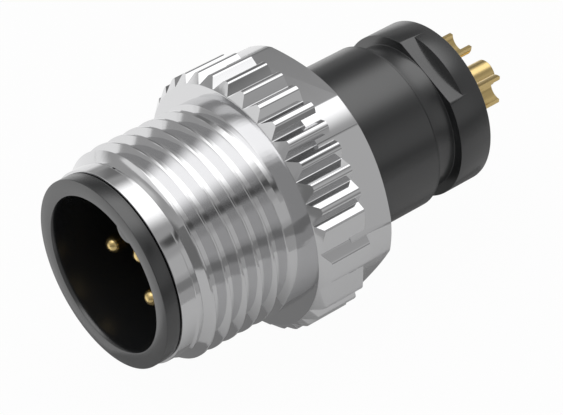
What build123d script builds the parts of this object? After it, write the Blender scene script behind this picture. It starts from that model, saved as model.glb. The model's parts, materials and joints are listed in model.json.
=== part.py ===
from build123d import *
import os
from math import atan, cos, degrees, radians, sin, sqrt

# Circular sensor cable connector, millimetres.
# Everything coaxial is drawn along +Y from the nose face at station 0 toward the rear.
# Angles are polar angles in a cross-section, from +X toward +Z, in degrees.

# Moulded carrier
nose_lip_radius = 5.33
nose_lip_length = 0.83
carrier_radius = 4.75
carrier_body_end = 18.93
tie_groove_radius = 4.2
tie_groove_length = 1.55
rear_flange_length = 2.13
rear_flat_distance = 4.25
rear_flat_length = 0.94
socket_radius = 4.32
socket_depth = 9.0
socket_mouth_widening = 0.115
socket_mouth_length = 0.31
rear_flat_angle = 64.0
key_radius = 0.65
key_centre_radius = 4.69
key_angle = 61.0

# Contacts
pin_radius = 0.5
pin_tip_station = 2.07
contact_circle_radius = 2.5
contact_offset_angles = (45.0, 135.0, 225.0, 315.0)
outer_barrel_radius = 0.88
centre_barrel_radius = 0.77
barrel_seat_station = 16.5
barrel_edge_break = 0.05
outer_cup_reach = 2.82
centre_cup_reach = 4.05
cup_wall = 0.24
cup_bore_depth = 4.6
scoop_depth = 2.0
scoop_floor_radius = 0.35
scoop_twist_angle = 17.5
centre_scoop_angle = 225.0

# Coupling nut
thread_radius = 6.0
pilot_radius = 5.45
pilot_end = 1.6
ring_front = 8.6
ring_radius = 7.4
ring_length = 3.05
knurl_depth = 0.5
knurl_pitch_angle = 10.0
rib_angle = -3.5
rib_top_width = 1.25
hex_across_flats = 13.2
hex_corner_radius = 7.12
hex_length = 2.0
hex_chamfer_slope = 0.55
nut_bore_edge_break = 0.2

# Fits
nut_radial_clearance = 0.06
nut_end_float = 0.05
contact_clearance = 0.02

# Positions that follow from the sizes
groove_end = carrier_body_end + tie_groove_length
carrier_end = groove_end + rear_flange_length
outer_cup_end = carrier_end + outer_cup_reach
centre_cup_end = carrier_end + centre_cup_reach
overall_length = max(outer_cup_end, centre_cup_end)
nut_bore_radius = carrier_radius + nut_radial_clearance
nut_front = nose_lip_length + nut_end_float
ring_end = ring_front + ring_length
hex_end = ring_end + hex_length
knurl_valley_radius = ring_radius - knurl_depth

# Overrun of a cutting body past the surface it cuts
overrun = 1.0


def crest_half_width():
    """Half the width of a 90 degree groove where its sides meet the ring's outside."""
    return (sqrt(2 * ring_radius**2 - knurl_valley_radius**2) - knurl_valley_radius) / 2


def rest_height():
    """Height of the axis with the ring lying on the two crests beside its lowest groove."""
    return knurl_valley_radius + crest_half_width()


def turned(corners):
    """Solid of revolution about the axis from (radius, station) corners."""
    return revolve(make_face(Polyline(*corners, close=True)), Axis.Y)


def bar(section, start, end):
    """Straight bar between two stations, its section drawn as (X, Z)."""
    plane = Plane(origin=(0, start, 0), x_dir=(1, 0, 0), z_dir=(0, -1, 0))
    return extrude(plane * section, amount=end - start, dir=(0, 1, 0))


def at_polar(radius, angle):
    """Offset of an axis at a radius and polar angle in the cross-section."""
    return Pos(radius * cos(radians(angle)), 0, radius * sin(radians(angle)))


def turn_to(angle):
    """Rotation that carries +X to a polar angle."""
    return Rot(0, -angle, 0)


# Carrier

def carrier_outside():
    """Lip, long body, tie groove for the overmould and rear flange."""
    return turned([
        (0, 0),
        (nose_lip_radius, 0),
        (nose_lip_radius, nose_lip_length),
        (carrier_radius, nose_lip_length),
        (carrier_radius, carrier_body_end),
        (tie_groove_radius, carrier_body_end),
        (tie_groove_radius, groove_end),
        (carrier_radius, groove_end),
        (carrier_radius, carrier_end),
        (0, carrier_end),
    ])


def socket_cavity():
    """Blind socket with a widened mouth, less the half-round key along its wall."""
    bore = turned([
        (0, -overrun),
        (socket_radius + socket_mouth_widening, -overrun),
        (socket_radius + socket_mouth_widening, 0),
        (socket_radius, socket_mouth_length),
        (socket_radius, socket_depth),
        (0, socket_depth),
    ])
    key = bar(Circle(key_radius), 0, socket_depth + overrun)
    return bore - at_polar(key_centre_radius, key_angle) * key


def contact_bore(barrel_radius):
    """Pin hole from the socket floor opening into the wider barrel bore."""
    hole_radius = pin_radius + contact_clearance
    barrel_bore_radius = barrel_radius + contact_clearance
    return turned([
        (0, socket_depth - overrun),
        (hole_radius, socket_depth - overrun),
        (hole_radius, barrel_seat_station),
        (barrel_bore_radius, barrel_seat_station),
        (barrel_bore_radius, carrier_end + overrun),
        (0, carrier_end + overrun),
    ])


def rear_flat():
    """Cutting body for the flat on the front part of the rear flange."""
    reach = carrier_radius + overrun - rear_flat_distance
    section = Pos(rear_flat_distance + reach / 2, 0) * Rectangle(reach, 2 * (carrier_radius + overrun))
    return turn_to(rear_flat_angle) * bar(section, groove_end, groove_end + rear_flat_length)


def contact_angles():
    """Polar angles of the four contacts around the centre one."""
    return [key_angle + offset for offset in contact_offset_angles]


def contact_places():
    """Axis offsets of the centre contact and of the four around it."""
    around = [at_polar(contact_circle_radius, angle) for angle in contact_angles()]
    return [Pos(0, 0, 0)] + around


def barrel_radii():
    """Barrel radius at each contact place."""
    return [centre_barrel_radius] + [outer_barrel_radius] * len(contact_offset_angles)


def contact_carrier():
    """Moulded carrier with socket, key, contact bores and rear flat."""
    body = carrier_outside() - socket_cavity() - rear_flat()
    for place, barrel_radius in zip(contact_places(), barrel_radii()):
        body -= place * contact_bore(barrel_radius)
    return body


# Contacts

def contact_blank(barrel_radius, end):
    """Turned pin with a round tip, stepped up to the barrel."""
    shoulder = pin_tip_station + pin_radius
    tip_middle = pin_radius * sqrt(0.5)
    outline = Polyline(
        (pin_radius, shoulder),
        (pin_radius, barrel_seat_station),
        (barrel_radius, barrel_seat_station),
        (barrel_radius, end - barrel_edge_break),
        (barrel_radius - barrel_edge_break, end),
        (0, end),
        (0, pin_tip_station),
    )
    tip = ThreePointArc((0, pin_tip_station), (tip_middle, shoulder - tip_middle), (pin_radius, shoulder))
    return revolve(make_face([outline, tip]), Axis.Y)


def cup_bore(barrel_radius, end):
    """Blind bore for the wire with a drill-point bottom."""
    bottom = end - cup_bore_depth
    bore_radius = barrel_radius - cup_wall
    return turned([
        (0, bottom - bore_radius / 2),
        (bore_radius, bottom),
        (bore_radius, end + overrun),
        (0, end + overrun),
    ])


def scoop(barrel_radius, end):
    """Cutting body that takes the +X half of the cup away, so its end is a half-round trough."""
    floor = end - scoop_depth
    reach = barrel_radius + overrun
    outline = Polyline(
        (0, floor + scoop_floor_radius),
        (0, end + overrun),
        (reach, end + overrun),
        (reach, floor),
        (scoop_floor_radius, floor),
    )
    floor_round = RadiusArc((scoop_floor_radius, floor), (0, floor + scoop_floor_radius), scoop_floor_radius)
    return extrude(make_face([outline, floor_round]), amount=reach, both=True)


def contact(barrel_radius, end, scoop_angle):
    """One contact on the axis, its cup ending at a station and open toward an angle."""
    cup = contact_blank(barrel_radius, end) - cup_bore(barrel_radius, end)
    return cup - turn_to(scoop_angle) * scoop(barrel_radius, end)


# Coupling nut

def nut_sleeve():
    """Outside of the sleeve that carries the thread, with its pilot and lead."""
    lead_end = pilot_end + thread_radius - pilot_radius
    return turned([
        (0, nut_front),
        (pilot_radius, nut_front),
        (pilot_radius, pilot_end),
        (thread_radius, lead_end),
        (thread_radius, ring_front + ring_length / 2),
        (0, ring_front + ring_length / 2),
    ])


def flat_half_angle():
    """Half the angle over which the orientation flat interrupts the knurl."""
    return degrees(atan(sqrt(ring_radius**2 - knurl_valley_radius**2) / knurl_valley_radius))


def knurl_angles():
    """Polar angles of the grooves, all those of the full circle that miss the flat."""
    count = round(360 / knurl_pitch_angle)
    angles = []
    for index in range(count):
        angle = index * knurl_pitch_angle
        from_rib = (angle - rib_angle + 180) % 360 - 180
        if abs(from_rib) > flat_half_angle():
            angles.append(angle)
    return angles


def orientation_section():
    """What is taken off the ring beside the orientation rib, down to the flat."""
    depth = knurl_depth + overrun
    flat = Pos(knurl_valley_radius + depth / 2, 0) * Rectangle(depth, 2 * ring_radius)
    root_half = rib_top_width / 2 + knurl_depth
    rib = Polygon(
        (knurl_valley_radius - overrun, -root_half - overrun),
        (ring_radius, -rib_top_width / 2),
        (ring_radius, rib_top_width / 2),
        (knurl_valley_radius - overrun, root_half + overrun),
        align=None,
    )
    return Rot(0, 0, rib_angle) * (flat - rib)


def ring_section():
    """Cross-section of the ring with its grooves and the orientation flat and rib."""
    section = Circle(ring_radius)
    groove_top = knurl_depth + overrun
    groove = Polygon(
        (knurl_valley_radius, 0),
        (knurl_valley_radius + groove_top, groove_top),
        (knurl_valley_radius + groove_top, -groove_top),
        align=None,
    )
    for angle in knurl_angles():
        section -= Rot(0, 0, angle) * groove
    return section - orientation_section()


def knurled_ring():
    """Ring with straight grooves and a front chamfer as deep as the grooves."""
    envelope = turned([
        (0, ring_front),
        (knurl_valley_radius, ring_front),
        (ring_radius, ring_front + knurl_depth),
        (ring_radius, ring_end),
        (0, ring_end),
    ])
    return bar(ring_section(), ring_front, ring_end) & envelope


def hex_flange():
    """Spanner hexagon behind the ring, its corners turned down and chamfered."""
    half_flats = hex_across_flats / 2
    chamfer = (hex_corner_radius - half_flats) * hex_chamfer_slope
    envelope = turned([
        (0, ring_end),
        (hex_corner_radius, ring_end),
        (hex_corner_radius, hex_end - chamfer),
        (half_flats, hex_end),
        (0, hex_end),
    ])
    hexagon = RegularPolygon(half_flats, 6, major_radius=False, rotation=rib_angle)
    return bar(hexagon, ring_end, hex_end) & envelope


def nut_bore():
    """Through bore running on the carrier, edges broken at both ends."""
    wide = nut_bore_radius + nut_bore_edge_break
    return turned([
        (0, nut_front - overrun),
        (wide, nut_front - overrun),
        (wide, nut_front),
        (nut_bore_radius, nut_front + nut_bore_edge_break),
        (nut_bore_radius, hex_end - nut_bore_edge_break),
        (wide, hex_end),
        (wide, hex_end + overrun),
        (0, hex_end + overrun),
    ])


def coupling_nut():
    """Coupling nut with sleeve, knurled ring and hexagon in one piece."""
    return nut_sleeve() + knurled_ring() + hex_flange() - nut_bore()


os.makedirs("parts", exist_ok=True)
stand = Pos(0, -overall_length / 2, rest_height())

export_step(stand * contact_carrier(), "parts/contact_carrier.step")
export_step(stand * coupling_nut(), "parts/coupling_nut.step")
centre, *around = contact_places()
centre_contact = contact(centre_barrel_radius, centre_cup_end, centre_scoop_angle)
export_step(stand * centre * centre_contact, "parts/contact_1.step")
for number, (place, angle) in enumerate(zip(around, contact_angles()), start=2):
    opened = contact(outer_barrel_radius, outer_cup_end, angle - scoop_twist_angle)
    export_step(stand * place * opened, f"parts/contact_{number}.step")
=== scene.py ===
import json
from math import acos, ceil, cos, pi, radians, sin, sqrt

import bpy
from bpy.props import FloatProperty, FloatVectorProperty, IntProperty, PointerProperty
from mathutils import Matrix, Vector


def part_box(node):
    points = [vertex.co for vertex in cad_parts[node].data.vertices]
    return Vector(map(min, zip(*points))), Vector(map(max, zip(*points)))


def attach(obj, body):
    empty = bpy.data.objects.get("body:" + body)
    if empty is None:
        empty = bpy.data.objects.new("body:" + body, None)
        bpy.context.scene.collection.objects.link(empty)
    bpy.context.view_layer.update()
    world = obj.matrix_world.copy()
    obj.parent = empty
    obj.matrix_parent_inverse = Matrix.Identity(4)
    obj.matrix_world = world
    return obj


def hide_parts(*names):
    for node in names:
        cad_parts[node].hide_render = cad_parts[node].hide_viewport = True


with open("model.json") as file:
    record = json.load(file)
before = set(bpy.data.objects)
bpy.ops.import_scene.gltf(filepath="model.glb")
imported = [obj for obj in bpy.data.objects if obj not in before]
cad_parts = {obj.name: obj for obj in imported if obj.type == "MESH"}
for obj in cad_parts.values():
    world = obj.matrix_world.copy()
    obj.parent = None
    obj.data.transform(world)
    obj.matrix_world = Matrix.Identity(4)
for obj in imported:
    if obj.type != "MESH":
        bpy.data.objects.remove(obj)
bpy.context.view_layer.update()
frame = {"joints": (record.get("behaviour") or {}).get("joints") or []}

bl_info = {
    "name": "Circular sensor connector",
    "version": (1, 0, 0),
    "blender": (4, 5, 0),
    "location": "3D View > Sidebar > Connector",
    "description": "Models the carrier, coupling nut and contacts of a circular sensor connector",
    "category": "Object",
}

MM = 0.001
MICRON = 0.000001
OVERSHOOT = MM  # how far a cutter reaches past what it cuts

KEY_SETBACK = 0.02 * MM  # from the nose face to the key's front
KEY_SINK = 0.2 * MM  # how far the key runs into the socket's floor
KEY_COVER = 0.1 * MM  # least plastic between the key and the body's outside
FLAT_LEAD = 0.01 * MM  # how far the flat's cutter starts in the groove
HOLE_PLAY = 0.02 * MM  # gap round a contact in its hole
BORE_EDGE = 0.2 * MM  # broken edge of the nut's bore
RING_SPARE = 0.2 * MM  # how far the ring's envelope stands outside the ring
HEXAGON_SPARE = 0.4 * MM  # how far the hexagon's envelope runs on past its end
HEXAGON_SLOPE = 0.55  # length of the hexagon's chamfer for each unit of its height
CREST_DROP = 0.025 * MM  # height of the broken edge between a thread's flank and crest
CREST_BREAK = 0.035 * MM  # width of that broken edge
CREST_SPARE = 0.03 * MM  # how far the thread cutter opens out above the crest
CUTTER_HEIGHT = 0.4 * MM  # how far the thread cutter stands above the crest
CUTTER_SHARE = 0.49  # half of the cutter's greatest width, as a share of the pitch
RUN_OUT = 0.3  # length of the thread's run-out, as a share of the pitch

SMALL_STEPS = 40
CONTACT_STEPS = 64
TRIM_STEPS = 96

# The axis runs along +Y at this height, and stations count from the nose face toward the rear.
AXIS_HEIGHT = frame["joints"][0]["pos_m"][2]
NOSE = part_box("contact_carrier")[0].y
CARRIER_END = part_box("contact_carrier")[1].y - NOSE
CENTRE_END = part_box("contact_1")[1].y - NOSE
OUTER_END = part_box("contact_2")[1].y - NOSE
NUT_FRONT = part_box("coupling_nut")[0].y - NOSE
NUT_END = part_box("coupling_nut")[1].y - NOSE
RING_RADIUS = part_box("coupling_nut")[1].x


def length(name, description, millimetres):
    """A size that a user can set, shown in scene units."""
    return FloatProperty(name=name, description=description, default=millimetres * MM,
                         unit="LENGTH", precision=5, min=0.0)


def turn(name, description, degrees):
    """An angle that a user can set."""
    return FloatProperty(name=name, description=description, default=radians(degrees),
                         unit="ROTATION", subtype="ANGLE")


def colour(name, description, hex_text):
    """A colour that a user can set, from its sRGB hex value."""
    return FloatVectorProperty(name=name, description=description, subtype="COLOR", size=3,
                               min=0.0, max=1.0, default=linear(hex_text))


def linear(hex_text):
    """Linear red, green and blue of an sRGB hex value."""
    parts = [int(hex_text[place:place + 2], 16) / 255 for place in (1, 3, 5)]
    return [part / 12.92 if part <= 0.04045 else ((part + 0.055) / 1.055) ** 2.4 for part in parts]


class CarrierSizes(bpy.types.PropertyGroup):
    """Sizes of the moulded carrier."""
    lip_radius: length("Lip radius", "Outside radius of the nose lip", 5.33)
    lip_length: length("Lip length", "Length of the nose lip", 0.83)
    body_radius: length("Body radius", "Outside radius of the long body and rear flange", 4.75)
    line_depth: length("Line depth", "Depth of the fine line at the end of the body", 0.035)
    groove_radius: length("Groove radius", "Bottom radius of the groove before the flange", 4.2)
    groove_start: length("Groove start", "Station where the groove starts", 18.93)
    groove_end: length("Groove end", "Station where the rear flange starts", 20.48)
    flat_distance: length("Flat distance", "Distance of the rear flat from the axis", 4.25)
    flat_length: length("Flat length", "Length of the rear flat along the axis", 0.94)
    socket_radius: length("Socket radius", "Inside radius of the socket", 4.32)
    mouth_radius: length("Mouth radius", "Radius of the socket's mouth at the nose face", 4.435)
    mouth_length: length("Mouth length", "Length of the widened mouth", 0.31)
    socket_depth: length("Socket depth", "Depth of the socket", 9.0)
    key_radius: length("Key radius", "Radius of the half-round key", 0.65)
    key_distance: length("Key distance", "Distance of the key's middle from the axis", 4.69)
    key_angle: turn("Key angle", "Polar angle of the key and the contact pattern", 61.0)
    flat_angle: turn("Flat angle", "Polar angle that the rear flat faces", 64.0)
    edge_round: length("Edge rounding", "Rounding of the moulded edges", 0.05)


class NutSizes(bpy.types.PropertyGroup):
    """Sizes of the coupling nut."""
    bore_radius: length("Bore radius", "Radius of the bore that runs on the carrier", 4.81)
    pilot_radius: length("Pilot radius", "Radius of the plain front end", 5.45)
    pilot_end: length("Pilot end", "Station where the thread's lead starts", 1.8)
    thread_radius: length("Thread radius", "Outside radius of the thread", 6.0)
    thread_root: length("Thread root", "Root radius of the thread", 5.46)
    pitch: length("Pitch", "Thread pitch", 1.0)
    thread_phase: length("Thread phase", "Station of a groove on the side toward +X", 0.03)
    thread_end: length("Thread end", "Station where the last groove has run out", 7.95)
    ring_front: length("Ring front", "Station of the flange face", 8.6)
    ring_end: length("Ring end", "Station where the knurled ring ends", 11.65)
    valley_radius: length("Valley radius", "Radius at the bottom of the knurl and of the flat", 6.9)
    groove_pitch: turn("Groove pitch", "Angle between knurl grooves", 10.0)
    rib_angle: turn("Rib angle", "Polar angle of the orientation rib", -3.5)
    rib_width: length("Rib width", "Width of the orientation rib at its top", 1.25)
    across_flats: length("Across flats", "Spanner size of the hexagon", 13.2)
    corner_radius: length("Corner radius", "Radius to which the hexagon's corners are turned", 7.12)
    crest_round: length("Crest rounding", "Rounding of the knurl's crests", 0.09)
    edge_round: length("Edge rounding", "Rounding of the turned edges", 0.04)


class ContactSizes(bpy.types.PropertyGroup):
    """Sizes of the contacts."""
    pin_radius: length("Pin radius", "Radius of the pin", 0.5)
    pin_tip: length("Pin tip", "Station of the pin's tip", 2.07)
    outer_barrel: length("Outer barrel radius", "Radius of the four outer barrels and cups", 0.88)
    centre_barrel: length("Centre barrel radius", "Radius of the centre barrel and cup", 0.77)
    barrel_start: length("Barrel start", "Station where the barrel starts", 16.5)
    circle_radius: length("Circle radius", "Radius of the circle of the outer contacts", 2.5)
    cup_wall: length("Cup wall", "Wall of the solder cup", 0.24)
    cup_depth: length("Cup depth", "Depth of the solder cup", 4.6)
    scoop_depth: length("Scoop depth", "Length over which the cup is open at its side", 2.0)
    scoop_round: length("Scoop rounding", "Radius at the scoop's floor", 0.35)
    scoop_twist: turn("Scoop twist", "Turn of each outer scoop away from straight outward", 17.5)
    centre_scoop: turn("Centre scoop angle", "Polar angle that the centre cup opens toward", 225.0)
    edge_round: length("Edge rounding", "Rounding of the cup's rim", 0.04)


class Finishes(bpy.types.PropertyGroup):
    """Colours of the finishes and of the stage."""
    plastic: colour("Black plastic", "Moulded black plastic", "#1D1E1F")
    nickel: colour("Nickel", "Bright nickel plating", "#DFDFE0")
    gold: colour("Gold", "Thin gold plating", "#EBCF90")
    floor: colour("Floor", "Floor and backdrop", "#FFFFFF")
    segments: IntProperty(name="Segments", description="Facets round a turned piece", default=144,
                          min=24, max=512)


# Modelling steps

def settings(name):
    return getattr(bpy.context.scene, name)


def deselect():
    """Object mode with nothing selected, so the next step acts on its own piece only."""
    if bpy.context.object and bpy.context.object.mode != "OBJECT":
        bpy.ops.object.mode_set(mode="OBJECT")
    bpy.ops.object.select_all(action="DESELECT")


def make_active(piece):
    deselect()
    piece.select_set(True)
    bpy.context.view_layer.objects.active = piece


def edit_all(piece):
    """Edit mode on one piece with everything selected."""
    make_active(piece)
    bpy.ops.object.mode_set(mode="EDIT")
    bpy.ops.mesh.select_mode(type="VERT")
    bpy.ops.mesh.select_all(action="SELECT")


def edit_vertices(piece, wanted):
    """Edit mode on one piece with only the vertices selected whose place passes the test."""
    make_active(piece)
    for group in (piece.data.polygons, piece.data.edges, piece.data.vertices):
        group.foreach_set("select", [False] * len(group))
    for vertex in piece.data.vertices:
        vertex.select = wanted(vertex.co)
    bpy.ops.object.mode_set(mode="EDIT")
    bpy.ops.mesh.select_mode(type="VERT")


def object_mode():
    bpy.ops.object.mode_set(mode="OBJECT")


def polar(radius, station, angle):
    """Point at a radius and polar angle in the cross-section of a station."""
    return Vector((radius * cos(angle), NOSE + station, AXIS_HEIGHT + radius * sin(angle)))


def about_axis(angle):
    """Matrix that turns a piece round the connector's axis, from +X toward +Z."""
    shift = Matrix.Translation((0, 0, AXIS_HEIGHT))
    return shift @ Matrix.Rotation(-angle, 4, "Y") @ shift.inverted()


def outline(name, corners, closed):
    """Edges from corner to corner, drawn by extruding one vertex again and again."""
    deselect()
    bpy.ops.mesh.primitive_plane_add(size=MM)
    piece = bpy.context.object
    piece.name = name
    bpy.ops.object.mode_set(mode="EDIT")
    bpy.ops.mesh.merge(type="CENTER")
    bpy.ops.transform.translate(value=corners[0])
    route = corners + corners[:1] if closed else corners
    for corner, following in zip(route, route[1:]):
        bpy.ops.mesh.extrude_region_move(TRANSFORM_OT_translate={"value": following - corner})
    bpy.ops.mesh.select_all(action="SELECT")
    bpy.ops.mesh.remove_doubles(threshold=MICRON / 10)
    object_mode()
    return piece


def round_corners(piece, corners, width, segments=3):
    """Rounds the outline's corners that stand at the given points."""
    if not corners:
        return
    near = 2 * MICRON
    edit_vertices(piece, lambda place: any((place - corner).length < near for corner in corners))
    bpy.ops.mesh.bevel(offset_type="OFFSET", offset=width, segments=segments, affect="VERTICES")
    object_mode()


def close_shell(piece):
    """Merges doubled vertices and points every face outward."""
    edit_all(piece)
    bpy.ops.mesh.remove_doubles(threshold=MICRON)
    bpy.ops.mesh.normals_make_consistent(inside=False)
    object_mode()


def turned(name, corners, steps, axis=None):
    """Turned piece from (radius, station, rounding) corners that start and end on its axis."""
    centre = axis or Vector((0, 0, AXIS_HEIGHT))
    points = [Vector((radius, NOSE + station, 0)) + centre for radius, station, rounding in corners]
    piece = outline(name, points, closed=False)
    for width in sorted({rounding for radius, station, rounding in corners if rounding}):
        chosen = [point for point, corner in zip(points, corners) if corner[2] == width]
        round_corners(piece, chosen, width)
    edit_all(piece)
    bpy.ops.mesh.spin(steps=steps, angle=2 * pi, center=centre, axis=(0, 1, 0))
    object_mode()
    close_shell(piece)
    return piece


def pull(piece, distance):
    """Fills an outline and extrudes it by a vector."""
    edit_all(piece)
    bpy.ops.mesh.edge_face_add()
    bpy.ops.mesh.extrude_region_move(TRANSFORM_OT_translate={"value": distance})
    object_mode()
    close_shell(piece)
    return piece


def bar(name, section, start, end, roundings=()):
    """Bar along the axis from a closed section of (x, z) corners, some of them rounded."""
    def place(corner):
        return Vector((corner[0], NOSE + start, AXIS_HEIGHT + corner[1]))

    piece = outline(name, [place(corner) for corner in section], closed=True)
    for corners, width, segments in roundings:
        round_corners(piece, [place(corner) for corner in corners], width, segments)
    return pull(piece, (0, end - start, 0))


def combine(piece, tool, operation):
    """Cuts, joins or trims a piece with a tool body, and clears the tool away."""
    make_active(piece)
    bpy.ops.object.modifier_add(type="BOOLEAN")
    modifier = piece.modifiers[-1]
    modifier.operation = operation
    modifier.solver = "EXACT"
    modifier.object = tool
    bpy.ops.object.modifier_apply(modifier=modifier.name)
    bpy.data.objects.remove(tool)
    return piece


def copies(piece, moves):
    """One copy of a piece for each move, joined into one tool with the first."""
    made = []
    for move in moves:
        make_active(piece)
        bpy.ops.object.duplicate(linked=False)
        copy = bpy.context.object
        copy.data.transform(move)
        made.append(copy)
    bpy.data.objects.remove(piece)
    deselect()
    for copy in made:
        copy.select_set(True)
    bpy.context.view_layer.objects.active = made[0]
    bpy.ops.object.join()
    return bpy.context.object


def finish(piece, material, body, cad_node, angle):
    """Smooth shading up to an angle, flat faces kept flat, then the finish and the frame."""
    make_active(piece)
    bpy.ops.object.shade_smooth_by_angle(angle=radians(angle))
    bpy.ops.object.modifier_add(type="WEIGHTED_NORMAL")
    modifier = piece.modifiers[-1]
    modifier.keep_sharp = True
    bpy.ops.object.modifier_apply(modifier=modifier.name)
    piece.data.materials.clear()
    piece.data.materials.append(material)
    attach(piece, body)
    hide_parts(cad_node)


# Materials

def node(tree, kind, options=None, inputs=None):
    """Adds a node with its options, and its inputs as values or links."""
    made = tree.nodes.new(kind)
    for key, value in (options or {}).items():
        setattr(made, key, value)
    for key, value in (inputs or {}).items():
        if isinstance(value, bpy.types.NodeSocket):
            tree.links.new(value, made.inputs[key])
        else:
            made.inputs[key].default_value = value
    return made


def new_material(name):
    material = bpy.data.materials.new(name)
    material.use_nodes = True
    material.node_tree.nodes.clear()
    return material, material.node_tree


def moulded_black_plastic():
    """Glass-filled polyamide, injection moulded: near black, with clear but soft highlights."""
    material, tree = new_material("moulded black polyamide")
    place = node(tree, "ShaderNodeTexCoord")
    # the mould's spark-eroded skin is about 0.02 mm; drawn at 0.06 mm so that it shows
    grain = node(tree, "ShaderNodeTexNoise", inputs={
        "Vector": place.outputs["Object"], "Scale": 1 / (0.06 * MM), "Detail": 3.0,
        "Roughness": 0.6})
    bump = node(tree, "ShaderNodeBump", inputs={
        "Strength": 0.06, "Distance": 0.01 * MM, "Height": grain.outputs["Fac"]})
    # glass fibre at the skin makes cloudy patches about 2 mm across
    cloud = node(tree, "ShaderNodeTexNoise", inputs={
        "Vector": place.outputs["Object"], "Scale": 1 / (2.0 * MM), "Detail": 2.0})
    rough = node(tree, "ShaderNodeMapRange", inputs={
        "Value": cloud.outputs["Fac"], "To Min": 0.22, "To Max": 0.27})
    # above polyamide's own 1.53, which gives weaker highlights than the object shows
    shader = node(tree, "ShaderNodeBsdfPrincipled", inputs={
        "Base Color": (*settings("finishes").plastic, 1), "Roughness": rough.outputs["Result"],
        "IOR": 1.9, "Normal": bump.outputs["Normal"]})
    node(tree, "ShaderNodeOutputMaterial", inputs={"Surface": shader.outputs["BSDF"]})
    return material


def bright_nickel():
    """Bright nickel plated on turned brass: a neutral silver mirror with faint turning marks."""
    material, tree = new_material("bright nickel plating")
    place = node(tree, "ShaderNodeTexCoord")
    # the lathe's feed leaves marks 0.05 mm apart; drawn 0.12 mm apart so that they show
    marks = node(tree, "ShaderNodeTexWave", {"wave_type": "BANDS", "bands_direction": "Y"}, {
        "Vector": place.outputs["Object"], "Scale": 1 / (0.12 * MM) / 20, "Distortion": 0.4,
        "Detail": 2.0, "Detail Scale": 1.5})
    bump = node(tree, "ShaderNodeBump", inputs={
        "Strength": 0.015, "Distance": 0.01 * MM, "Height": marks.outputs["Fac"]})
    haze = node(tree, "ShaderNodeTexNoise", inputs={
        "Vector": place.outputs["Object"], "Scale": 1 / (1.5 * MM), "Detail": 3.0})
    rough = node(tree, "ShaderNodeMapRange", inputs={
        "Value": haze.outputs["Fac"], "To Min": 0.08, "To Max": 0.12})
    shader = node(tree, "ShaderNodeBsdfPrincipled", inputs={
        "Base Color": (*settings("finishes").nickel, 1), "Metallic": 1.0,
        "Roughness": rough.outputs["Result"], "Normal": bump.outputs["Normal"]})
    node(tree, "ShaderNodeOutputMaterial", inputs={"Surface": shader.outputs["BSDF"]})
    return material


def gold_plating():
    """Thin gold over nickel on turned brass: pale yellow and glossy, a little uneven."""
    material, tree = new_material("thin gold plating")
    place = node(tree, "ShaderNodeTexCoord")
    haze = node(tree, "ShaderNodeTexNoise", inputs={
        "Vector": place.outputs["Object"], "Scale": 1 / (0.4 * MM), "Detail": 3.0})
    rough = node(tree, "ShaderNodeMapRange", inputs={
        "Value": haze.outputs["Fac"], "To Min": 0.18, "To Max": 0.28})
    shader = node(tree, "ShaderNodeBsdfPrincipled", inputs={
        "Base Color": (*settings("finishes").gold, 1), "Metallic": 1.0,
        "Roughness": rough.outputs["Result"]})
    node(tree, "ShaderNodeOutputMaterial", inputs={"Surface": shader.outputs["BSDF"]})
    return material


# Pieces

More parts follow.
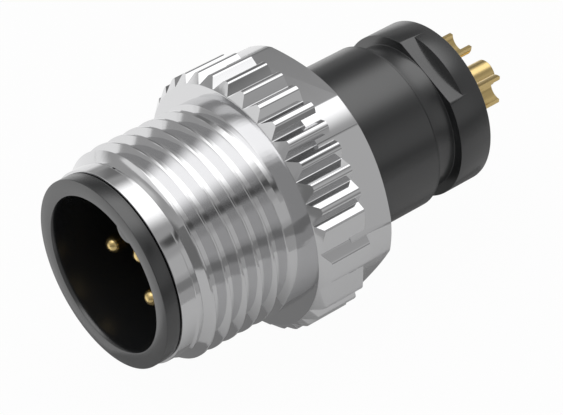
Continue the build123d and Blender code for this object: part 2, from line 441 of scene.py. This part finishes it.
class CONNECTOR_OT_carrier(bpy.types.Operator):
    """Model the moulded carrier with its keyed socket, tie groove and rear flange"""
    bl_idname = "connector.carrier"
    bl_label = "Carrier"

    def execute(self, context):
        size = settings("carrier_sizes")
        contact = settings("contact_sizes")
        steps = settings("finishes").segments
        soft = size.edge_round
        fine = soft / 2
        carrier = turned("moulded_carrier", [
            (0, size.socket_depth, 0),
            (size.socket_radius, size.socket_depth, soft),
            (size.socket_radius, size.mouth_length, 0),
            (size.mouth_radius, 0, fine),
            (size.lip_radius, 0, soft),
            (size.lip_radius, size.lip_length, fine),
            (size.body_radius, size.lip_length, 0),
            (size.body_radius, size.groove_start - 3 * size.line_depth, 0),
            (size.body_radius - size.line_depth, size.groove_start - 2 * size.line_depth, 0),
            (size.body_radius, size.groove_start - size.line_depth, 0),
            (size.body_radius, size.groove_start, 0),
            (size.groove_radius, size.groove_start, fine),
            (size.groove_radius, size.groove_end, fine),
            (size.body_radius, size.groove_end, fine),
            (size.body_radius, CARRIER_END, soft),
            (0, CARRIER_END, 0),
        ], steps)
        self.add_key(carrier, size)
        self.cut_flat(carrier, size)
        self.cut_contact_holes(carrier, size, contact)
        finish(carrier, moulded_black_plastic(), "carrier", "contact_carrier",
               32)
        return {"FINISHED"}

    def add_key(self, carrier, size):
        """Half-round rib along the socket's wall, clipped to stay inside the wall."""
        middle = polar(size.key_distance, 0, size.key_angle)
        key = turned("key", [
            (0, KEY_SETBACK, 0),
            (size.key_radius, KEY_SETBACK, size.edge_round / 2),
            (size.key_radius, size.socket_depth + KEY_SINK, 0),
            (0, size.socket_depth + KEY_SINK, 0),
        ], SMALL_STEPS, Vector((middle.x, 0, middle.z)))
        outside = min((size.lip_radius + size.socket_radius) / 2, size.body_radius - KEY_COVER)
        keep = turned("key trim", [
            (0, -OVERSHOOT, 0),
            (outside, -OVERSHOOT, 0),
            (outside, size.socket_depth + OVERSHOOT, 0),
            (0, size.socket_depth + OVERSHOOT, 0),
        ], TRIM_STEPS)
        combine(key, keep, "INTERSECT")
        combine(carrier, key, "UNION")

    def cut_flat(self, carrier, size):
        """Flat on the front part of the rear flange."""
        near = size.flat_distance
        reach = size.body_radius + OVERSHOOT
        section = [(near, -reach), (reach, -reach), (reach, reach), (near, reach)]
        cutter = bar("flat cutter", section, size.groove_end - FLAT_LEAD,
                     size.groove_end + size.flat_length)
        cutter.data.transform(about_axis(size.flat_angle))
        combine(carrier, cutter, "DIFFERENCE")

    def cut_contact_holes(self, carrier, size, contact):
        """Holes round the pins in the socket's floor and round the barrels in the rear face."""
        centre = [Matrix.Identity(4)]
        around = [Matrix.Translation(polar(contact.circle_radius, 0, angle) - polar(0, 0, 0))
                  for angle in contact_angles(size)]
        for place, radius, moves in ((size.socket_depth, contact.pin_radius, centre + around),
                                     (CARRIER_END, contact.centre_barrel, centre),
                                     (CARRIER_END, contact.outer_barrel, around)):
            wide = radius + HOLE_PLAY
            hole = turned("hole", [
                (0, place - OVERSHOOT, 0),
                (wide, place - OVERSHOOT, 0),
                (wide, place + OVERSHOOT, 0),
                (0, place + OVERSHOOT, 0),
            ], SMALL_STEPS)
            combine(carrier, copies(hole, moves), "DIFFERENCE")


def contact_angles(size):
    """Polar angles of the four contacts round the centre one."""
    return [size.key_angle + radians(offset) for offset in (45, 135, 225, 315)]


class CONNECTOR_OT_nut(bpy.types.Operator):
    """Model the coupling nut with its thread, knurled ring, orientation rib and hexagon"""
    bl_idname = "connector.nut"
    bl_label = "Coupling nut"

    def execute(self, context):
        size = settings("nut_sizes")
        steps = settings("finishes").segments
        nut = self.sleeve(size, steps)
        combine(nut, self.thread_cutter(size, steps), "DIFFERENCE")
        combine(nut, self.ring(size, steps), "UNION")
        combine(nut, self.hexagon(size, steps), "UNION")
        combine(nut, self.bore(size, steps), "DIFFERENCE")
        finish(nut, bright_nickel(), "nut", "coupling_nut", 24)
        return {"FINISHED"}

    def sleeve(self, size, steps):
        """Turned sleeve with its pilot and lead, before its thread is cut."""
        soft = size.edge_round
        lead_end = size.pilot_end + size.thread_radius - size.pilot_radius
        inside = (size.ring_front + size.ring_end) / 2
        return turned("threaded_nut", [
            (0, NUT_FRONT, 0),
            (size.pilot_radius, NUT_FRONT, soft),
            (size.pilot_radius, size.pilot_end, soft),
            (size.thread_radius, lead_end, soft),
            (size.thread_radius, inside, 0),
            (0, inside, 0),
        ], steps)

    def thread_cutter(self, size, steps):
        """One groove's section, screwed from before the sleeve to where it runs out."""
        height = size.thread_radius - size.thread_root
        half_root = size.pitch * 7 / 16 - height * sqrt(1 / 3)
        shoulder = size.thread_radius - CREST_DROP
        half_shoulder = half_root + (shoulder - size.thread_root) * sqrt(1 / 3)
        side = [
            (size.thread_root, half_root),
            (shoulder, half_shoulder),
            (size.thread_radius, half_shoulder + CREST_BREAK),
            (size.thread_radius + CREST_SPARE, size.pitch * CUTTER_SHARE),
            (size.thread_radius + CUTTER_HEIGHT, size.pitch * CUTTER_SHARE),
        ]
        section = side + [(radius, -half) for radius, half in reversed(side)]
        last = size.thread_end - size.thread_phase
        corners = [Vector((radius, station, 0)) for radius, station in section]
        cutter = outline("thread cutter", corners, closed=True)
        make_active(cutter)
        bpy.ops.object.modifier_add(type="SCREW")
        screw = cutter.modifiers[-1]
        screw.axis = "Y"
        screw.angle = 2 * pi
        screw.screw_offset = size.pitch
        screw.iterations = ceil(last / size.pitch)
        screw.steps = steps
        screw.render_steps = steps
        bpy.ops.object.modifier_apply(modifier=screw.name)
        for index, vertex in enumerate(cutter.data.vertices):
            station = index // len(section) / steps * size.pitch
            # 0 up to the run-out, then growing until the cutter is clear of the metal
            left = min(max(1 - (last - station) / (RUN_OUT * size.pitch), 0), 1.2)
            reach = Vector((vertex.co.x, vertex.co.z))
            grown = reach.length + left * height * 1.05
            vertex.co.x *= grown / reach.length
            vertex.co.z *= grown / reach.length
        cutter.data.transform(Matrix.Translation((0, NOSE + size.thread_phase, AXIS_HEIGHT)))
        edit_all(cutter)
        bpy.ops.mesh.fill_holes(sides=0)
        object_mode()
        close_shell(cutter)
        return cutter

    def ring_section(self, size):
        """Outline of the knurled ring: grooves, orientation flat and rib, as (x, z) corners."""
        valley = size.valley_radius
        half_width = (sqrt(2 * RING_RADIUS ** 2 - valley ** 2) - valley) / 2
        crest_turn = acos((valley + half_width) / RING_RADIUS)
        flat_turn = acos(valley / RING_RADIUS)
        crests, valleys, points = [], [], []

        def add(radius, angle, kind):
            corner = (radius * cos(angle), radius * sin(angle))
            points.append(corner)
            kind.append(corner)

        for index in range(round(2 * pi / size.groove_pitch)):
            angle = index * size.groove_pitch
            off = (angle - size.rib_angle + pi) % (2 * pi) - pi
            if abs(off) <= flat_turn:
                continue
            if off - crest_turn < flat_turn and off > 0:
                # this groove's side meets the flat below the ring's outside
                run = (valley - valley * cos(off)) / cos(off - pi / 4)
                z = valley * sin(off) + run * sin(off - pi / 4)
                radius = (valley * valley + z * z) ** 0.5
                add(radius, size.rib_angle + acos(valley / radius), crests)
            else:
                add(RING_RADIUS, angle - crest_turn, crests)
            add(valley, angle, valleys)
            add(RING_RADIUS, angle + crest_turn, crests)
        top = size.rib_width / 2
        root = top + RING_RADIUS - valley
        top_turn = acos((RING_RADIUS ** 2 - top ** 2) ** 0.5 / RING_RADIUS)
        root_radius = (valley ** 2 + root ** 2) ** 0.5
        root_turn = acos(valley / root_radius)
        middle = 2 * pi + size.rib_angle
        add(RING_RADIUS, middle - flat_turn, crests)
        add(root_radius, middle - root_turn, valleys)
        add(RING_RADIUS, middle - top_turn, crests)
        for part in (-0.5, 0, 0.5):
            points.append((RING_RADIUS * cos(middle + part * top_turn),
                           RING_RADIUS * sin(middle + part * top_turn)))
        add(RING_RADIUS, middle + top_turn, crests)
        add(root_radius, middle + root_turn, valleys)
        return points, crests, valleys

    def ring(self, size, steps):
        """Knurled ring, its crests and valleys rounded, its front turned to a chamfer."""
        points, crests, valleys = self.ring_section(size)
        ring = bar("ring", points, size.ring_front - OVERSHOOT, size.ring_end,
                   [(crests, size.crest_round, 3), (valleys, size.crest_round * 0.6, 2)])
        depth = RING_RADIUS - size.valley_radius
        envelope = turned("ring envelope", [
            (0, size.ring_front, 0),
            (size.valley_radius, size.ring_front, size.edge_round),
            (RING_RADIUS + RING_SPARE, size.ring_front + depth + RING_SPARE, 0),
            (RING_RADIUS + RING_SPARE, size.ring_end + OVERSHOOT, 0),
            (0, size.ring_end + OVERSHOOT, 0),
        ], steps)
        return combine(ring, envelope, "INTERSECT")

    def hexagon(self, size, steps):
        """Spanner hexagon behind the ring, corners turned down and chamfered."""
        half = size.across_flats / 2
        reach = half / cos(pi / 6)
        angles = [size.rib_angle + side * pi / 3 for side in range(6)]
        section = [(reach * cos(angle), reach * sin(angle)) for angle in angles]
        hexagon = bar("hexagon", section, size.ring_end - OVERSHOOT, NUT_END)
        chamfer = (size.corner_radius - half) * HEXAGON_SLOPE
        envelope = turned("hexagon envelope", [
            (0, size.ring_end - 2 * OVERSHOOT, 0),
            (size.corner_radius, size.ring_end - 2 * OVERSHOOT, 0),
            (size.corner_radius, NUT_END - chamfer, size.edge_round),
            (half, NUT_END, 0),
            (half - HEXAGON_SPARE, NUT_END + HEXAGON_SPARE * HEXAGON_SLOPE, 0),
            (0, NUT_END + HEXAGON_SPARE * HEXAGON_SLOPE, 0),
        ], steps)
        return combine(hexagon, envelope, "INTERSECT")

    def bore(self, size, steps):
        """Cutter for the through bore, with its edges broken."""
        wide = size.bore_radius + BORE_EDGE
        return turned("bore cutter", [
            (0, NUT_FRONT - OVERSHOOT, 0),
            (wide, NUT_FRONT - OVERSHOOT, 0),
            (wide, NUT_FRONT, 0),
            (size.bore_radius, NUT_FRONT + BORE_EDGE, 0),
            (size.bore_radius, NUT_END - BORE_EDGE, 0),
            (wide, NUT_END, 0),
            (wide, NUT_END + OVERSHOOT, 0),
            (0, NUT_END + OVERSHOOT, 0),
        ], steps)


class CONNECTOR_OT_contacts(bpy.types.Operator):
    """Model the gold-plated contacts with their round pin tips and scooped solder cups"""
    bl_idname = "connector.contacts"
    bl_label = "Contacts"

    def execute(self, context):
        size = settings("contact_sizes")
        carrier = settings("carrier_sizes")
        gold = gold_plating()
        centre = self.contact(size, size.centre_barrel, CENTRE_END)
        centre.data.transform(about_axis(size.centre_scoop))
        centre.name = "centre_contact"
        finish(centre, gold, "carrier", "contact_1", 35)
        model = self.contact(size, size.outer_barrel, OUTER_END)
        for number, angle in enumerate(contact_angles(carrier), start=2):
            make_active(model)
            bpy.ops.object.duplicate(linked=False)
            copy = bpy.context.object
            copy.name = "outer_contact_%d" % (number - 1)
            shift = Matrix.Translation(polar(size.circle_radius, 0, angle) - polar(0, 0, 0))
            copy.data.transform(shift @ about_axis(angle - size.scoop_twist))
            finish(copy, gold, "carrier", "contact_%d" % number, 35)
        bpy.data.objects.remove(model)
        return {"FINISHED"}

    def contact(self, size, barrel, end):
        """One contact on the axis, its cup cut away to a half-round trough toward +X."""
        bore = barrel - size.cup_wall
        slopes = [radians(degrees) for degrees in range(0, 91, 10)]
        tip = [(size.pin_radius * sin(slope), size.pin_tip + size.pin_radius * (1 - cos(slope)), 0)
               for slope in slopes]
        contact = turned("contact", tip + [
            (size.pin_radius, size.barrel_start, 0),
            (barrel, size.barrel_start, 0),
            (barrel, end, size.edge_round),
            (bore, end, size.edge_round),
            (bore, end - size.cup_depth, 0),
            (0, end - size.cup_depth - bore / 2, 0),
        ], CONTACT_STEPS)
        reach = barrel + OVERSHOOT
        floor = end - size.scoop_depth
        corners = [Vector((x, NOSE + station, AXIS_HEIGHT - reach)) for x, station in (
            (0, floor), (reach, floor), (reach, end + OVERSHOOT), (0, end + OVERSHOOT))]
        cutter = outline("scoop cutter", corners, closed=True)
        round_corners(cutter, corners[:1], size.scoop_round, 8)
        return combine(contact, pull(cutter, (0, 0, 2 * reach)), "DIFFERENCE")


# Stage

class CONNECTOR_OT_stage(bpy.types.Operator):
    """Set up the floor, the soft studio light and the camera"""
    bl_idname = "connector.stage"
    bl_label = "Stage"

    def execute(self, context):
        self.floor()
        self.room()
        self.lamp()
        self.world(context.scene)
        self.camera(context.scene)
        context.scene.view_settings.view_transform = "Standard"
        return {"FINISHED"}

    def floor(self):
        """Floor that the camera sees white, and the metal light grey, with the object's shadow."""
        camera_white = 0.97
        mirrored_white = 0.12
        grey = 0.58
        deselect()
        bpy.ops.mesh.primitive_plane_add(size=3.0, location=(0, 0, 0))
        floor = bpy.context.object
        floor.name = "floor"
        material, tree = new_material("white floor")
        path = node(tree, "ShaderNodeLightPath")
        mirrored = node(tree, "ShaderNodeMath", {"operation": "MAXIMUM"}, {
            0: path.outputs["Is Glossy Ray"], 1: path.outputs["Is Transmission Ray"]})
        lifted = node(tree, "ShaderNodeMath", {"operation": "MULTIPLY"}, {
            0: mirrored.outputs[0], 1: mirrored_white})
        straight = node(tree, "ShaderNodeMath", {"operation": "MULTIPLY"}, {
            0: path.outputs["Is Camera Ray"], 1: camera_white})
        share = node(tree, "ShaderNodeMath", {"operation": "MAXIMUM"}, {
            0: lifted.outputs[0], 1: straight.outputs[0]})
        matt = node(tree, "ShaderNodeBsdfDiffuse", inputs={"Color": (grey, grey, grey, 1)})
        glow = node(tree, "ShaderNodeEmission", inputs={
            "Color": (*settings("finishes").floor, 1), "Strength": 1.0})
        mix = node(tree, "ShaderNodeMixShader", inputs={
            0: share.outputs[0], 1: matt.outputs[0], 2: glow.outputs[0]})
        node(tree, "ShaderNodeOutputMaterial", inputs={"Surface": mix.outputs[0]})
        floor.data.materials.append(material)

    def unseen(self, thing, name, level, soft=()):
        """Glowing surface that the camera doesn't see.

        Soft is the faded share of its breadth and of its height, from the edges inward.
        """
        thing.name = name
        material, tree = new_material(name)
        glow = node(tree, "ShaderNodeEmission", inputs={"Color": (1, 1, 1, 1), "Strength": level})
        surface = glow.outputs[0]
        if soft:
            place = node(tree, "ShaderNodeTexCoord")
            apart = node(tree, "ShaderNodeSeparateXYZ", inputs={0: place.outputs["Generated"]})
            clear = node(tree, "ShaderNodeBsdfTransparent")
            for side, share in enumerate(soft):
                offset = node(tree, "ShaderNodeMath", {"operation": "SUBTRACT"}, {
                    0: apart.outputs[side], 1: 0.5})
                reach = node(tree, "ShaderNodeMath", {"operation": "ABSOLUTE"}, {
                    0: offset.outputs[0]})
                fade = node(tree, "ShaderNodeMapRange", {"interpolation_type": "SMOOTHSTEP"}, {
                    "Value": reach.outputs[0], "From Min": 0.5, "From Max": 0.5 - 0.5 * share})
                mix = node(tree, "ShaderNodeMixShader", inputs={
                    0: fade.outputs[0], 1: clear.outputs[0], 2: surface})
                surface = mix.outputs[0]
        node(tree, "ShaderNodeOutputMaterial", inputs={"Surface": surface})
        thing.data.materials.append(material)
        thing.visible_camera = False
        thing.visible_shadow = False

    def hung_board(self, name, azimuth, elevation, across, up, level, soft):
        """Board that faces the object from a direction and spans two angles there, in degrees."""
        distance = 0.36
        toward = Vector((cos(radians(azimuth)) * cos(radians(elevation)),
                         sin(radians(azimuth)) * cos(radians(elevation)), sin(radians(elevation))))
        deselect()
        bpy.ops.mesh.primitive_plane_add(size=1.0)
        board = bpy.context.object
        board.location = Vector((0, 0, AXIS_HEIGHT)) + distance * toward
        board.rotation_euler = toward.to_track_quat("Z", "Y").to_euler()
        board.scale = (2 * distance * sin(radians(across / 2)),
                       2 * distance * sin(radians(up / 2)), 1)
        self.unseen(board, name, level, soft)

    def lying_board(self, name, low, high, height, level):
        """Board lying on the floor between two corners in millimetres, shown in the metal only: a
        painted reflection of the floor, which casts no light or shadow.
        """
        deselect()
        bpy.ops.mesh.primitive_plane_add(size=1.0)
        board = bpy.context.object
        middle = (low[0] + high[0]) / 2 * MM, (low[1] + high[1]) / 2 * MM, height * MM
        board.location = middle
        board.scale = ((high[0] - low[0]) * MM, (high[1] - low[1]) * MM, 1)
        self.unseen(board, name, level)
        board.visible_diffuse = False

    def room(self):
        """Grey studio room with a soft ceiling panel, a white left side and a few flags, and boards
        on the floor with painted light and shade that only the metal shows.
        """
        deselect()
        bpy.ops.mesh.primitive_cube_add(size=1.0, location=(0, 0, 0.245), scale=(0.9, 0.9, 0.5))
        self.unseen(bpy.context.object, "grey room", 0.365)
        deselect()
        bpy.ops.mesh.primitive_plane_add(size=1.0, location=(-0.027, -0.064, 0.33))
        panel = bpy.context.object
        panel.scale = (0.47, 0.8, 1)
        self.unseen(panel, "ceiling panel", 1.6, (0.67, 0.3))
        for name, azimuth, elevation, across, up, level, soft in (
                ("left side", 184, 0, 74, 28, 0.91, (0.04, 0.9)),
                ("front strip", -112, 12, 30, 18, 0.65, (0.8, 0.8)),
                ("front board", -118, 33, 72, 20, 0.8, (0.3, 0.4)),
                ("front flag", -78, 0, 40, 14, 0.15, (0.2, 0.9)),
                ("right front flag", -58, 4, 34, 34, 0.18, (0.6, 0.6)),
                ("right side", 22, 15, 44, 30, 0.48, (0.2, 0.5)),
                ("right rear flag", 28, 41, 28, 15, 0.07, (0.4, 0.75)),
                ("left rear flag", 148, 30, 30, 30, 0.18, (0.4, 0.6))):
            self.hung_board(name, azimuth, elevation, across, up, level, soft)
        for name, low, high, height, level in (
                # painted light: the floor to the left and front left shows brighter in the metal,
                # as if a lamp lit it from the left
                ("left board", (-300, -200), (-9, 200), 0.1, 0.93),
                ("front left board", (-9, -200), (-2, -14.5), 0.1, 0.93),
                # painted shadow: a dark patch on the floor under the object, which the metal shows
                # where the object's shadow falls
                ("painted shadow board", (-9, -13), (4.2, 13), 0.1, 0.21),
                ("right board", (22, -400), (46, 400), 0.2, 0.365),
                ("far right board", (46, -400), (440, 400), 0.25, 0.21),
                ("front dark board", (-12, -440), (22, -37), 0.15, 0.17)):
            self.lying_board(name, low, high, height, level)

    def lamp(self):
        """Small lamp that gives the satin plastic its highlight."""
        deselect()
        bpy.ops.object.light_add(type="AREA", location=Vector((-60, -60, 250)) * MM)
        lamp = bpy.context.object
        lamp.name = "overhead lamp"
        lamp.data.shape = "RECTANGLE"
        lamp.data.size = 120 * MM
        lamp.data.size_y = 200 * MM
        lamp.data.energy = 0.02
        lamp.visible_glossy = False

    def world(self, scene):
        world = bpy.data.worlds.new("studio")
        scene.world = world
        world.use_nodes = True
        tree = world.node_tree
        tree.nodes.clear()
        white = node(tree, "ShaderNodeBackground", inputs={"Color": (1, 1, 1, 1), "Strength": 1.0})
        node(tree, "ShaderNodeOutputWorld", inputs={"Surface": white.outputs[0]})

    def camera(self, scene):
        """Camera whose place, aim and roll were fitted to circles of known size."""
        place = Vector((97.684, -78.730, 100.285)) * MM
        aim = Vector((0.196, -1.679, 5.813)) * MM
        roll = radians(-2.6012)
        deselect()
        bpy.ops.object.camera_add(location=place)
        camera = bpy.context.object
        look = (aim - place).to_track_quat("-Z", "Y").to_matrix()
        camera.rotation_euler = (look @ Matrix.Rotation(roll, 3, "Z")).to_euler()
        camera.data.sensor_width = 36
        camera.data.lens = 187.625
        camera.data.clip_start = 0.01
        scene.camera = camera


class CONNECTOR_PT_sidebar(bpy.types.Panel):
    """Lists the connector's pieces and sizes"""
    bl_label = "Circular connector"
    bl_idname = "CONNECTOR_PT_sidebar"
    bl_space_type = "VIEW_3D"
    bl_region_type = "UI"
    bl_category = "Connector"

    def draw(self, context):
        column = self.layout.column()
        for operator in OPERATORS:
            column.operator(operator.bl_idname)
        for group in SIZE_GROUPS:
            box = self.layout.box()
            box.label(text=group.__doc__)
            for name in group.__annotations__:
                box.prop(getattr(context.scene, SIZE_GROUPS[group]), name)


OPERATORS = (CONNECTOR_OT_carrier, CONNECTOR_OT_nut, CONNECTOR_OT_contacts, CONNECTOR_OT_stage)
SIZE_GROUPS = {CarrierSizes: "carrier_sizes", NutSizes: "nut_sizes",
               ContactSizes: "contact_sizes", Finishes: "finishes"}


def register():
    for made in (*SIZE_GROUPS, *OPERATORS, CONNECTOR_PT_sidebar):
        bpy.utils.register_class(made)
    for group, name in SIZE_GROUPS.items():
        setattr(bpy.types.Scene, name, PointerProperty(type=group))


def unregister():
    for name in SIZE_GROUPS.values():
        delattr(bpy.types.Scene, name)
    for made in reversed((*SIZE_GROUPS, *OPERATORS, CONNECTOR_PT_sidebar)):
        bpy.utils.unregister_class(made)


def main():
    register()
    bpy.ops.connector.carrier()
    bpy.ops.connector.nut()
    bpy.ops.connector.contacts()
    bpy.ops.connector.stage()


if __name__ == "__main__":
    main()
